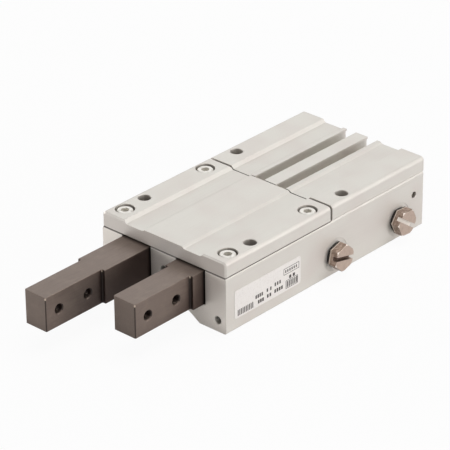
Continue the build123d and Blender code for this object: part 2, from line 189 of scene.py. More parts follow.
class Graph:
    """A node tree under construction."""

    def __init__(self, tree: bpy.types.NodeTree) -> None:
        """Keeps the tree that the nodes go into."""
        self.tree = tree

    @staticmethod
    def _pick(sockets: Sequence[bpy.types.NodeSocket], key: Union[str, int]) -> bpy.types.NodeSocket:
        """Finds a node's socket.

        Args:
            sockets: The node's inputs or outputs.
            key: The socket's place among them, or its name among those in use.

        Returns:
            The socket.
        """
        if isinstance(key, int):
            return sockets[key]
        return next(s for s in sockets if s.enabled and s.name == key)

    def feed(self, socket: bpy.types.NodeSocket, given: Given) -> None:
        """Links a value to a socket, or writes a number or colour into it.

        Args:
            socket: The socket.
            given: What it takes.
        """
        if isinstance(given, Value):
            self.tree.links.new(given.socket, socket)
        else:
            socket.default_value = given

    def node(
        self,
        kind: str,
        settings: Mapping[str, object],
        inputs: Mapping[Union[str, int], Given],
        output: Union[str, None] = None,
    ) -> Value:
        """Adds a node.

        Args:
            kind: The node's type.
            settings: The node's own settings, which are set first.
            inputs: Numbers, colours or values for its sockets.
            output: The name of the socket to return, or None for the first in use.

        Returns:
            The value that the node gives.
        """
        made = self.tree.nodes.new(kind)
        for name, setting in settings.items():
            setattr(made, name, setting)
        for key, given in inputs.items():
            self.feed(self._pick(made.inputs, key), given)
        if output is None:
            return Value(self, next(s for s in made.outputs if s.enabled))
        return Value(self, self._pick(made.outputs, output))

    def background(self, mirrored: float) -> Value:
        """Tells the rays that are to find the white background.

        Args:
            mirrored: How white a glossy surface shows it.

        Returns:
            One for what the camera sees, also through glass, and mirrored for a reflection.
        """
        seen = self.node("ShaderNodeLightPath", {}, {}, "Is Camera Ray")
        outputs = seen.socket.node.outputs
        through = Value(self, outputs["Is Transmission Ray"])
        reflected = Value(self, outputs["Is Glossy Ray"])
        return seen.largest(through).largest(reflected * mirrored)


class Paint(Graph):
    """A material under construction, with the shader that its surface has.

    Attributes:
        EDGE_SAMPLES: The samples that soften an edge.
        HOLLOW_SAMPLES: The samples that find a hollow.
        EDGE_RISE: How far a softened normal turns where wear begins, and where it is full.
    """

    EDGE_SAMPLES: int = 6
    HOLLOW_SAMPLES: int = 12
    EDGE_RISE: Rise = (0.02, 0.26)

    def __init__(self, name: str) -> None:
        """Starts a material.

        Args:
            name: The material's name.
        """
        self.material = bpy.data.materials.new(name)
        self.material.use_nodes = True
        super().__init__(self.material.node_tree)
        self.shader = self.tree.nodes["Principled BSDF"]

    def set(self, **sockets: Given) -> None:
        """Sets the shader's sockets.

        Args:
            sockets: What each socket takes, by its name with underscores for spaces.
        """
        for name, given in sockets.items():
            self.feed(self.shader.inputs[name.replace("_", " ")], given)

    def place(self) -> Value:
        """The point's own place on the object."""
        return self.node("ShaderNodeTexCoord", {}, {}, "Object")

    def axes(self, vector: Value) -> tuple[Value, Value, Value]:
        """Splits a vector.

        Args:
            vector: The vector.

        Returns:
            Its three numbers.
        """
        names = ("X", "Y", "Z")
        first = self.node("ShaderNodeSeparateXYZ", {}, {"Vector": vector}, names[0])
        outputs = first.socket.node.outputs
        return tuple(Value(self, outputs[name]) for name in names)

    def facing(self) -> tuple[Value, Value, Value]:
        """The way that the face points, as its three numbers."""
        return self.axes(self.node("ShaderNodeNewGeometry", {}, {}, "True Normal"))

    def noise(self, marks: Marks) -> Value:
        """Makes the noise that marks come from.

        Args:
            marks: The marks.

        Returns:
            Numbers about 0.5.
        """
        scale = tuple(1 / (marks.width * longer) for longer in marks.lay.value)
        mapped = self.node("ShaderNodeMapping", {}, {"Vector": self.place(), "Scale": scale})
        inputs = {"Vector": mapped, "Scale": 1.0, "Detail": marks.detail}
        return self.node("ShaderNodeTexNoise", {}, inputs)

    def stain(
        self, under: Given, colour: Given, marks: Marks, noise: Value, share: Number = 1.0
    ) -> Value:
        """Lays the colour of some marks over another.

        Args:
            under: The colour under them.
            colour: Their own colour.
            marks: The marks.
            noise: The noise that they come from.
            share: How much of them each place takes.

        Returns:
            The colour with the marks on it.
        """
        return self.mix(under, colour, noise.spread(*marks.rise) * (share * marks.strength))

    def mix(self, first: Given, second: Given, share: Number) -> Value:
        """Mixes two colours; a share of one gives the second."""
        inputs = {"Factor": share, "A": self._full(first), "B": self._full(second)}
        return self.node("ShaderNodeMix", {"data_type": "RGBA"}, inputs)

    @staticmethod
    def _full(colour: Given) -> Given:
        """A colour with its fourth number, or a value as it is."""
        return colour if isinstance(colour, Value) else (*colour, 1.0)

    def soft_normal(self, radius: float) -> Value:
        """Normals that round every edge off over a small radius."""
        return self.node("ShaderNodeBevel", {"samples": self.EDGE_SAMPLES}, {"Radius": radius})

    def edges(self, soft: Value) -> Value:
        """Numbers that rise from zero to one at a worn edge.

        Args:
            soft: Normals that round the edges off.

        Returns:
            One on an edge.
        """
        true = self.node("ShaderNodeNewGeometry", {}, {}, "True Normal")
        inputs = {0: soft, 1: true}
        alike = self.node("ShaderNodeVectorMath", {"operation": "DOT_PRODUCT"}, inputs, "Value")
        return (1.0 - alike).spread(*self.EDGE_RISE)

    def hollow(self, hollows: Hollows) -> Value:
        """Painted shade: numbers that rise from zero in the open to their strength in hollows.

        Args:
            hollows: The hollows.

        Returns:
            The strength of their painted shade at each place.
        """
        settings = {"samples": self.HOLLOW_SAMPLES}
        inputs = {"Distance": hollows.reach}
        open_share = self.node("ShaderNodeAmbientOcclusion", settings, inputs, "AO")
        return (1.0 - open_share).spread(*hollows.rise) * hollows.strength

    def bump(self, height: Number, depth: float, normal: Value) -> Value:
        """Normals of a rough surface.

        Args:
            height: The surface's height, from zero to one.
            depth: What a height of one is, in metres.
            normal: The normals before the bump.

        Returns:
            The bumped normals.
        """
        inputs = {"Distance": depth, "Height": height, "Normal": normal}
        return self.node("ShaderNodeBump", {}, inputs)


@dataclass(frozen=True)
class Finish(ABC):
    """A finish that pieces can have.

    Attributes:
        name: The material's name.
        colour: The main colour.
        roughness: The mean roughness.
        metallic: How much of a bare metal's gloss it has.
        edge_radius: How far an edge is softened, in metres.
        wear: How strongly a worn edge shows its own colour.
        swing: How far the roughness swings with the finish's marks.
        polish: How much less rough a worn edge is.
        relief: How deep the marks are, in metres.
    """

    name: str
    colour: Colour
    roughness: float = 0.45
    metallic: float = 1.0
    edge_radius: float = 0.12 * MM
    wear: float = 0.0
    swing: float = 0.2
    polish: float = 0.0
    relief: float = 0.006 * MM

    @abstractmethod
    def cover(self, paint: Paint) -> None:
        """Adds this finish's nodes to a material."""

    def make(self) -> bpy.types.Material:
        """Makes the material.

        Returns:
            The material, with its nodes.
        """
        paint = Paint(self.name)
        self.cover(paint)
        return paint.material

    def _close(
        self, paint: Paint, colour: Value, noise: Value, height: Value, soft: Value, worn: Number = 0.0
    ) -> None:
        """Sets the shader from the finish's results.

        Args:
            paint: The material.
            colour: Its colour.
            noise: The noise that its roughness swings with.
            height: The surface's height, from zero to one.
            soft: Normals that round the edges off.
            worn: One on a worn edge.
        """
        paint.set(
            Base_Color=colour,
            Metallic=self.metallic,
            Roughness=(noise - 0.5) * self.swing + (self.roughness - worn * self.polish),
            Normal=paint.bump(height, self.relief, soft),
        )


@dataclass(frozen=True)
class AnodisedAluminium(Finish):
    """Extruded aluminium, fine blasted and clear anodised, with its ends milled.

    Attributes:
        drift: The colour that broad, faint clouds lean to.
        edge: The colour of its edges, where the film is thin.
        bare: The colour in the die lines and pits.
        milled: The colour of its milled ends.
        end_rise: How far a face points along Y where it starts to be an end, and where it is one.
        seam_shade: The colour of the painted shade line along the seam where the plate meets the housing.
        joint_z: The height of that line, in metres.
        joint_end: How far back along Y that line runs.
        joint_half: Half of that line's width.
        joint_rise: The shares of that half, in from its outer edge, where the line starts to
            show and where it is full.
        joint_spread: How much wider that line is on the milled ends.
        joint_strength: How strongly that line shows.
        shade: The painted shade in gaps and pockets.
        gaps: The narrow gaps that take painted shade.
        pockets: The milled pockets, whose ends take painted shade.
        clouds: The clouds.
        die_lines: The lines of the die.
        grain: The pits of the blasting.
        line_relief: The share of the relief that the die lines have.
        grain_relief: The share of the relief that the pits have.
    """

    drift: Colour = tone(216, 208, 202)
    edge: Colour = tone(208, 203, 196)
    bare: Colour = tone(196, 190, 182)
    milled: Colour = tone(222, 219, 212)
    end_rise: Rise = (0.6, 0.8)
    seam_shade: Colour = tone(58, 52, 48)
    joint_z: float = 0.0
    joint_end: float = 0.0
    joint_half: float = 0.18 * MM
    joint_rise: Rise = (0.0, 0.6)
    joint_spread: float = 0.8
    joint_strength: float = 0.9
    shade: Colour = tone(72, 66, 61)
    gaps: Hollows = Hollows(1.2 * MM, 0.5, (0.55, 0.95))
    pockets: Hollows = Hollows(7.0 * MM, 0.4, (0.15, 0.6))
    clouds: Marks = Marks(9.0 * MM, 0.5, (0.35, 0.75), detail=1.0)
    die_lines: Marks = Marks(0.35 * MM, 0.1, lay=Lay.EXTRUDED, detail=3.0)
    grain: Marks = Marks(0.14 * MM, 0.14, (0.4, 0.8))
    line_relief: float = 0.2
    grain_relief: float = 0.5
    wear: float = 0.6
    swing: float = 0.18
    polish: float = 0.08

    def cover(self, paint: Paint) -> None:
        """Adds clouds, milled ends, die lines, grain, thin edges, and painted shade in gaps, pockets and
        along the plate's seam.

        Args:
            paint: The material.
        """
        lines = paint.noise(self.die_lines)
        grain = paint.noise(self.grain)
        end_face = paint.facing()[1].size().spread(*self.end_rise)
        extruded = 1.0 - end_face
        soft = paint.soft_normal(self.edge_radius)
        worn = paint.edges(soft)
        colour = paint.stain(self.colour, self.drift, self.clouds, paint.noise(self.clouds))
        colour = paint.mix(colour, self.milled, end_face)
        colour = paint.stain(colour, self.bare, self.die_lines, lines, extruded)
        colour = paint.stain(colour, self.bare, self.grain, grain)
        colour = paint.mix(colour, self.edge, worn * self.wear)
        # Painted shade in the narrow gaps, in the pockets of the milled ends, and along the plate's seam.
        colour = paint.mix(colour, self.shade, paint.hollow(self.gaps))
        colour = paint.mix(colour, self.shade, paint.hollow(self.pockets) * end_face)
        # Painted shade along the seam where the plate meets the housing.
        colour = paint.mix(colour, self.seam_shade, self._painted_seam_shade(paint, end_face))
        height = lines * extruded * self.line_relief + grain * self.grain_relief
        self._close(paint, colour, grain, height, soft, worn)

    def _painted_seam_shade(self, paint: Paint, end_face: Value) -> Value:
        """Finds the painted shade line along the seam where the plate meets the housing, which is wider on
        the milled ends.

        Args:
            paint: The material.
            end_face: One on the milled ends.

        Returns:
            The strength of the line at each place.
        """
        _, y, z = paint.axes(paint.place())
        half = (end_face * self.joint_spread + 1.0) * self.joint_half
        near = 1.0 - (z - self.joint_z).size() / half
        before_end = (self.joint_end - y).above(0.0)
        return near.spread(*self.joint_rise) * before_end * self.joint_strength


@dataclass(frozen=True)
class TreatedSteel(Finish):
    """Ground steel under a dark brown surface treatment, rubbed bright on its corners, with painted shade
    and painted glints.

    Attributes:
        rubbed: The colour where handling has thinned the film.
        corner: The colour of its worn corners, also the painted glint at the top of its chamfers.
        deep: The colour of the film's darkest lines and specks.
        shade_between_fingers: The painted shade on its sides between the fingers and near the housing.
        shade: The painted shade in holes, corners and on the upright chamfers.
        hollows_between_fingers: The places between the fingers and near the housing that take painted
            shade.
        holes: The holes and corners that take painted shade.
        top_rise: How far a face points up where it starts to be a top, and where it is one.
        top_open: How much less of the two painted shades a top takes.
        patches: The rubbed patches.
        grinding: The grinding lines.
        specks: The specks.
        rubbed_rise: The patches' noise where an edge starts to be bare, and where it is.
        line_share: The share of the relief that the grinding lines have, before the specks.
        slant: What a level face's two directions multiplied have to pass to be a chamfer.
        chamfer_strength: How strongly the painted shade shows on a chamfer.
        top: The height of the finger's top, where its chamfers take a painted glint, in metres.
        bright: How far down a chamfer that painted glint goes.
    """

    rubbed: Colour = tone(138, 124, 113)
    corner: Colour = tone(214, 196, 178)
    deep: Colour = tone(94, 81, 74)
    shade_between_fingers: Colour = tone(52, 35, 31)
    shade: Colour = tone(26, 22, 20)
    hollows_between_fingers: Hollows = Hollows(14.0 * MM, 0.9, (0.08, 0.5))
    holes: Hollows = Hollows(1.15 * MM, 0.92, (0.08, 0.4))
    top_rise: Rise = (0.5, 0.8)
    top_open: float = 0.8
    patches: Marks = Marks(3.2 * MM, 0.45, (0.45, 0.75), detail=3.0)
    grinding: Marks = Marks(0.22 * MM, 0.35, lay=Lay.GROUND_LENGTHWISE, detail=3.0)
    specks: Marks = Marks(0.18 * MM, 0.35, (0.5, 0.8))
    rubbed_rise: Rise = (0.2, 0.55)
    line_share: float = 0.6
    slant: float = 0.4
    chamfer_strength: float = 0.7
    top: float = 0.0
    bright: float = 0.7 * MM
    wear: float = 0.75
    swing: float = 0.25
    polish: float = 0.1

    def cover(self, paint: Paint) -> None:
        """Adds rubbed patches, grinding lines, specks, worn corners, painted shade and painted glints.

        Args:
            paint: The material.
        """
        patches = paint.noise(self.patches)
        lines = paint.noise(self.grinding)
        specks = paint.noise(self.specks)
        soft = paint.soft_normal(self.edge_radius)
        worn = paint.edges(soft) * patches.spread(*self.rubbed_rise)
        side = 1.0 - paint.facing()[2].spread(*self.top_rise) * self.top_open
        chamfer, bright = self._chamfer_shade_and_glint(paint)
        colour = paint.stain(self.colour, self.rubbed, self.patches, patches)
        colour = paint.stain(colour, self.deep, self.grinding, lines)
        colour = paint.stain(colour, self.deep, self.specks, specks)
        colour = paint.mix(colour, self.corner, worn * self.wear)
        # Painted shade on the sides between the fingers and near the housing, and in holes and corners.
        colour = paint.mix(colour, self.shade_between_fingers, paint.hollow(self.hollows_between_fingers) * side)
        colour = paint.mix(colour, self.shade, paint.hollow(self.holes) * side)
        # Painted shade on the upright chamfers, and a painted glint at their tops.
        colour = paint.mix(colour, self.shade, chamfer * self.chamfer_strength)
        colour = paint.mix(colour, self.corner, bright)
        height = lines * self.line_share + specks * (1.0 - self.line_share)
        self._close(paint, colour, specks, height, soft, worn)

    def _chamfer_shade_and_glint(self, paint: Paint) -> tuple[Value, Value]:
        """Finds where the upright chamfers of the tip's corners and steps take painted shade and a painted
        glint.

        Args:
            paint: The material.

        Returns:
            One on a chamfer, for its painted shade, and one on the top of a chamfer, for its painted
            glint.
        """
        x, y, _ = paint.facing()
        chamfer = (x * y).size().above(self.slant)
        height = paint.axes(paint.place())[2]
        return chamfer, chamfer * height.above(self.top - self.bright)


@dataclass(frozen=True)
class TurnedMetal(Finish):
    """Metal turned on a lathe about a line along X or Y, or left as rolled.

    Attributes:
        shadow: The colour in the stains and turning lines.
        edge: The colour of its edges.
        stains: The stains.
        fine: The finest marks, among them the turning lines.
        centre: A point on the line that it was turned about, or None.
        across: True where that line runs along X, and false where it runs along Y.
        pitch: The distance between turning lines, in metres.
        ring_share: The share of the finest marks that the turning lines are.
        flats: The colour of the hexagon's flats, which are drawn and not turned and painted darker as a
            dark reflection, or None.
        scale: The marks on the flats.
        flat_rise: How far a face points along X where it starts to be no flat, and where it is none.
        chamfer_rise: The same for where the head's chamfer starts.
        face_rise: The same for where the head's end and the slot's floor start.
        slot: The painted light on the floor of the driver slot: dark in a shaded slot and bright in a lit
            one.
        slot_x: The place along X short of which a face is the floor of the driver slot.
        seat_shade: The painted shade at the foot of the flats, where the head rests on its gasket.
        seat_x: The place along X at which the head rests on its gasket.
        seat_width: How far along X that painted shade reaches.
        rim_width: How far along X the painted highlight on the rim beside it reaches.
        rim_strength: How strongly that painted highlight shows.
    """

    shadow: Colour = tone(120, 110, 100)
    edge: Colour = tone(235, 232, 226)
    stains: Marks = Marks(1.1 * MM, 0.35, (0.4, 0.8), detail=3.0)
    fine: Marks = Marks(0.1 * MM, 0.25, (0.4, 0.9))
    centre: Union[Triple, None] = None
    across: bool = False
    pitch: float = 0.16 * MM
    ring_share: float = 0.7
    flats: Union[Colour, None] = None
    scale: Marks = Marks(0.7 * MM, 0.6, (0.4, 0.6))
    flat_rise: Rise = (0.3, 0.6)
    chamfer_rise: Rise = (0.5, 0.65)
    face_rise: Rise = (0.93, 0.98)
    slot: Colour = tone(236, 222, 210)
    slot_x: float = 0.0
    seat_shade: Colour = tone(34, 26, 22)
    seat_x: float = 0.0
    seat_width: float = 0.3 * MM
    rim_width: float = 0.6 * MM
    rim_strength: float = 0.6
    wear: float = 0.55
    swing: float = 0.3
    polish: float = 0.1
    relief: float = 0.008 * MM

    def cover(self, paint: Paint) -> None:
        """Adds turning lines, stains and bright edges, and a plug head's flats with its painted light and
        shade.

        Args:
            paint: The material.
        """
        stains = paint.noise(self.stains)
        lines = paint.noise(self.fine)
        if self.centre is not None:
            lines = self._rings(paint) * self.ring_share + lines * (1.0 - self.ring_share)
        soft = paint.soft_normal(self.edge_radius)
        worn = paint.edges(soft)
        colour = paint.stain(self.colour, self.shadow, self.stains, stains)
        colour = paint.stain(colour, self.shadow, self.fine, lines)
        if self.flats is not None:
            colour = self._hexagon(paint, colour)
        colour = paint.mix(colour, self.edge, worn * self.wear)
        self._close(paint, colour, stains, lines, soft, worn)

    def _hexagon(self, paint: Paint, colour: Value) -> Value:
        """Colours a plug's hexagonal head.

        Args:
            paint: The material.
            colour: The colour of its turned face.

        Returns:
            That colour, with stained flats painted darker, a chamfer and rim painted bright, the slot
            floor's painted light and a painted seat shade.
        """
        outward = paint.facing()[0].size()
        flat = 1.0 - outward.spread(*self.flat_rise)
        chamfer = outward.spread(*self.chamfer_rise) - outward.spread(*self.face_rise)
        scale = paint.noise(self.scale).spread(*self.scale.rise) * self.scale.strength
        along = paint.axes(paint.place())[0]
        floor = outward.above(self.face_rise[0]) * (self.slot_x - along).above(0.0)
        over = along - self.seat_x
        rim_highlight = flat * (self.rim_width - over).above(0.0)
        seat_shade = flat * (self.seat_width - over).above(0.0)
        # Painted light and shade: darker flats as a dark reflection, a painted highlight on the chamfer
        # and rim, the slot floor's painted light, and painted shade at the seat.
        colour = paint.mix(colour, self.flats, flat * (scale + (1.0 - self.scale.strength)))
        colour = paint.mix(colour, self.edge, chamfer)
        colour = paint.mix(colour, self.slot, floor)
        colour = paint.mix(colour, self.edge, rim_highlight * self.rim_strength)
        return paint.mix(colour, self.seat_shade, seat_shade)

    def _rings(self, paint: Paint) -> Value:
        """Draws fine rings about the line that the piece was turned on.

        Args:
            paint: The material.

        Returns:
            Numbers that swing between zero and one from ring to ring.
        """
        x, y, z = paint.axes(paint.place())
        side = y - self.centre[1] if self.across else x - self.centre[0]
        radius = (side * side + (z - self.centre[2]) ** 2.0) ** 0.5
        inputs = {0: radius * (math.tau / self.pitch)}
        wave = paint.node("ShaderNodeMath", {"operation": "SINE"}, inputs)
        return wave * 0.5 + 0.5


@dataclass(frozen=True)
class MouldedRubber(Finish):
    """Moulded rubber, matt and slightly dusty.

    Attributes:
        dust: The colour of the dust.
        patches: The dusty patches.
        pebble: The pebbles of the mould's finish.
    """

    dust: Colour = tone(92, 86, 80)
    patches: Marks = Marks(0.8 * MM, 0.5, (0.45, 0.85), detail=4.0)
    pebble: Marks = Marks(0.09 * MM)
    relief: float = 0.01 * MM

    def cover(self, paint: Paint) -> None:
        """Adds dust and a fine pebble.

        Args:
            paint: The material.
        """
        pebble = paint.noise(self.pebble)
        soft = paint.soft_normal(self.edge_radius)
        colour = paint.stain(self.colour, self.dust, self.patches, paint.noise(self.patches))
        self._close(paint, colour, pebble, pebble, soft)


@dataclass(frozen=True)
class LabelFilm(Finish):
    """The pale film of a sticker, or the dark ink on it.

    Attributes:
        worn: The colour where it is scuffed.
        scuffs: The scuffs.
        peel: The bumps of the film's orange peel.
    """

    worn: Colour = tone(210, 205, 198)
    scuffs: Marks = Marks(0.5 * MM, 0.45, detail=4.0)
    peel: Marks = Marks(0.25 * MM)
    relief: float = 0.004 * MM

    def cover(self, paint: Paint) -> None:
        """Adds faint scuffs and the film's orange peel.

        Args:
            paint: The material.
        """
        scuffs = paint.noise(self.scuffs)
        soft = paint.soft_normal(self.edge_radius)
        colour = paint.stain(self.colour, self.worn, self.scuffs, scuffs)
        self._close(paint, colour, scuffs, paint.noise(self.peel), soft)


class Shop:
    """Makes each finish once and lays it on nodes and pieces."""

    def __init__(self) -> None:
        """Starts with no materials."""
        self._made: dict[str, bpy.types.Material] = {}

    def material(self, finish: Finish) -> bpy.types.Material:
        """Gives a finish's material, which is made at its first use.

        Args:
            finish: The finish.

        Returns:
            Its material.
        """
        if finish.name not in self._made:
            self._made[finish.name] = finish.make()
        return self._made[finish.name]

    def dress(self, node: str, finish: Finish) -> None:
        """Lays a finish on a node of the frame.

        Args:
            node: The node's name.
            finish: The finish that its material slots take.
        """
        for slot in frame["nodes"][node].material_slots:
            slot.material = self.material(finish)
        LOG.info("%s: %s", node, finish.name)

    def fit(self, piece: bpy.types.Object, body: Body, finish: Finish, slot: str = "") -> None:
        """Finishes a new piece and makes it ride on its body.

        Args:
            piece: The finished mesh, at the origin.
            body: The body that it moves with.
            finish: Its finish.
            slot: The name of the record's material slot that the finish matches; it is not used.
        """
        piece.data.materials.clear()
        piece.data.materials.append(self.material(finish))
        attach(piece, body.value)
        LOG.info("%s: %d faces on %s", piece.name, len(piece.data.polygons), body.value)


class Bench:
    """Steps of modelling that every new piece uses."""

    @staticmethod
    def clear() -> None:
        """Leaves object mode with nothing selected."""
        if bpy.context.object is not None and bpy.context.object.mode != "OBJECT":
            bpy.ops.object.mode_set(mode="OBJECT")
        bpy.ops.object.select_all(action="DESELECT")

    @staticmethod
    def start(
        add: Callable[..., object], scale: Triple = (1.0, 1.0, 1.0), **place: object
    ) -> bpy.types.Object:
        """Adds a primitive and leaves it alone in edit mode, all selected.

        Args:
            add: The operator that adds the primitive.
            scale: How it is stretched along its own axes.
            place: The operator's own settings.

        Returns:
            The new object.
        """
        Bench.clear()
        add(**place)
        piece = bpy.context.object
        piece.scale = scale
        bpy.ops.object.transform_apply(location=True, rotation=True, scale=True)
        bpy.ops.object.mode_set(mode="EDIT")
        bpy.ops.mesh.select_all(action="SELECT")
        return piece

    @staticmethod
    def leave(piece: bpy.types.Object, name: str, smooth_degrees: float = 30.0) -> bpy.types.Object:
        """Closes a piece: outward faces, smooth curves, its place in its mesh and its name.

        Args:
            piece: The piece, selected alone.
            name: The name that it and its mesh take.
            smooth_degrees: The angle between faces under which they shade as one curve.

        Returns:
            The piece.
        """
        bpy.ops.object.mode_set(mode="EDIT")
        bpy.ops.mesh.select_all(action="SELECT")
        bpy.ops.mesh.normals_make_consistent(inside=False)
        bpy.ops.object.mode_set(mode="OBJECT")
        bpy.ops.object.transform_apply(location=True, rotation=True, scale=True)
        bpy.ops.object.shade_smooth_by_angle(angle=math.radians(smooth_degrees))
        piece.name = name
        piece.data.name = name
        return piece

    @staticmethod
    def join(pieces: Sequence[bpy.types.Object]) -> bpy.types.Object:
        """Joins pieces into one.

        Args:
            pieces: The pieces.

        Returns:
            The first of them, which takes the others in.
        """
        Bench.clear()
        for piece in pieces:
            piece.select_set(True)
        bpy.context.view_layer.objects.active = pieces[0]
        bpy.ops.object.join()
        return pieces[0]


@dataclass(frozen=True)
class PrintRow:
    """A row of plain printed marks on the label, all alike.

    Attributes:
        start: The distance of the first mark from the label's front edge, in metres.
        bottom: The height of the marks' lower ends over the label's lower edge.
        width: One mark's width.
        height: One mark's height.
        pitch: The distance from one mark to the next.
        marks: How many there are.
    """

    start: float
    bottom: float
    width: float
    height: float
    pitch: float = 0.0
    marks: int = 1


@dataclass
class SideLabel:
    """The sticker on the housing's right side, with plain printed bars and boxes.

    Attributes:
        shop: Where its finishes come from.
        start: The distance of its front edge from the housing's front, in metres.
        length: Its length along the housing.
        bottom: The height of its lower edge.
        height: Its own height.
        thickness: The film's thickness.
        corner: The radius of its corners.
        corner_segments: The segments that a round corner has.
        ink: How far the print stands on the film.
        mark_corner: The radius of a printed mark's corners.
        frame_line: The width of a printed frame's line.
        film: The film's finish.
        print_ink: The print's finish.
        rows: The rows of printed marks.
        frames: The printed frames.
        origin: The film's lower front corner, on its outer face, once the film is built.
    """

    shop: Shop
    start: float = 3.1 * MM
    length: float = 24.8 * MM
    bottom: float = 3.1 * MM
    height: float = 7.9 * MM
    thickness: float = 0.08 * MM
    corner: float = 0.7 * MM
    corner_segments: int = 5
    ink: float = 0.012 * MM
    mark_corner: float = 0.1 * MM
    frame_line: float = 0.14 * MM
    film: LabelFilm = LabelFilm("label_film", tone(235, 232, 228), 0.42, 0.0)
    print_ink: LabelFilm = LabelFilm("label_ink", tone(62, 56, 52), 0.5, 0.0, worn=tone(104, 98, 92))
    rows: tuple[PrintRow, ...] = (
        PrintRow(1.1 * MM, 0.5 * MM, 0.34 * MM, 1.7 * MM, 0.6 * MM, 10),
        PrintRow(7.7 * MM, 2.5 * MM, 0.52 * MM, 1.0 * MM, 0.75 * MM, 4),
        PrintRow(11.9 * MM, 2.7 * MM, 0.5 * MM, 1.0 * MM, 1.3 * MM, 2),
        PrintRow(14.9 * MM, 3.1 * MM, 0.5 * MM, 1.0 * MM, 0.9 * MM, 3),
        PrintRow(8.6 * MM, 0.8 * MM, 0.6 * MM, 1.0 * MM, 0.8 * MM, 3),
        PrintRow(12.0 * MM, 1.0 * MM, 0.6 * MM, 1.0 * MM, 0.95 * MM, 2),
        PrintRow(14.8 * MM, 1.2 * MM, 0.6 * MM, 1.0 * MM, 0.85 * MM, 4),
        PrintRow(18.9 * MM, 5.2 * MM, 0.42 * MM, 0.8 * MM, 0.8 * MM, 6),
        PrintRow(20.4 * MM, 3.1 * MM, 0.8 * MM, 0.9 * MM, 1.4 * MM, 2),
        PrintRow(19.5 * MM, 0.9 * MM, 0.42 * MM, 1.7 * MM, 0.72 * MM, 6),
    )
    frames: tuple[PrintRow, ...] = (
        PrintRow(18.3 * MM, 4.7 * MM, 5.9 * MM, 1.8 * MM),
        PrintRow(19.1 * MM, 0.6 * MM, 4.6 * MM, 2.3 * MM),
    )
    origin: Triple = field(default=(0.0, 0.0, 0.0), init=False)

    def build(self) -> None:
        """Builds the film and its print."""
        face_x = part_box("housing")[1].x
        front_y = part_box("housing")[0].y + self.start
        film = self._sheet(face_x, front_y, self.bottom, self.length, self.height, self.corner)
        self._thicken(film, self.thickness, "side_label")
        self.shop.fit(film, Body.HOUSING, self.film)
        self.origin = (face_x + self.thickness, front_y, self.bottom)
        marks = [self._row(row) for row in self.rows] + [self._frame(row) for row in self.frames]
        self.shop.fit(Bench.join(marks), Body.HOUSING, self.print_ink)

    def _sheet(
        self, x: float, y: float, z: float, length: float, height: float, corner: float
    ) -> bpy.types.Object:
        """Lays a flat sheet on the housing's side and leaves it in edit mode.

        Args:
            x: How far out its face is, in metres.
            y: Its front edge.
            z: Its lower edge.
            length: Its length along the housing.
            height: Its height.
            corner: The radius of its corners, or zero for sharp ones.

        Returns:
            The sheet.
        """
        middle = (x, y + length / 2, z + height / 2)
        piece = Bench.start(
            bpy.ops.mesh.primitive_plane_add,
            size=1.0,
            location=middle,
            rotation=(0.0, math.radians(90), 0.0),
            scale=(height, length, 1.0),
        )
        if corner > 0:
            bpy.ops.mesh.bevel(offset=corner, segments=self.corner_segments, affect="VERTICES")
        return piece

    @staticmethod
    def _thicken(piece: bpy.types.Object, thickness: float, name: str) -> bpy.types.Object:
        """Pulls a flat sheet out into a thin solid and closes it."""
        bpy.ops.mesh.extrude_region_move(TRANSFORM_OT_translate={"value": (thickness, 0.0, 0.0)})
        return Bench.leave(piece, name)

    def _printed(self, row: PrintRow, corner: float) -> bpy.types.Object:
        """The flat sheet of a row's first mark, left in edit mode."""
        x, y, z = self.origin
        return self._sheet(x, y + row.start, z + row.bottom, row.width, row.height, corner)

    def _row(self, row: PrintRow) -> bpy.types.Object:
        """Prints one row of marks: the first mark, repeated along the label.

        Args:
            row: The row's places and sizes.

        Returns:
            The marks, as one piece.
        """
        piece = self._thicken(self._printed(row, self.mark_corner), self.ink, "side_label_print")
        repeat = piece.modifiers.new("repeat", "ARRAY")
        repeat.use_relative_offset = False
        repeat.use_constant_offset = True
        repeat.constant_offset_displace = (0.0, row.pitch, 0.0)
        repeat.count = row.marks
        bpy.ops.object.modifier_apply(modifier=repeat.name)
        return piece

    def _frame(self, row: PrintRow) -> bpy.types.Object:
        """Prints one frame: a sheet whose middle is inset and taken out.

        Args:
            row: The frame's place and size.

        Returns:
            The frame.
        """
        piece = self._printed(row, 0.0)
        bpy.ops.mesh.inset(thickness=self.frame_line)
        bpy.ops.mesh.delete(type="FACE")
        bpy.ops.mesh.select_all(action="SELECT")
        return self._thicken(piece, self.ink, "side_label_frame")


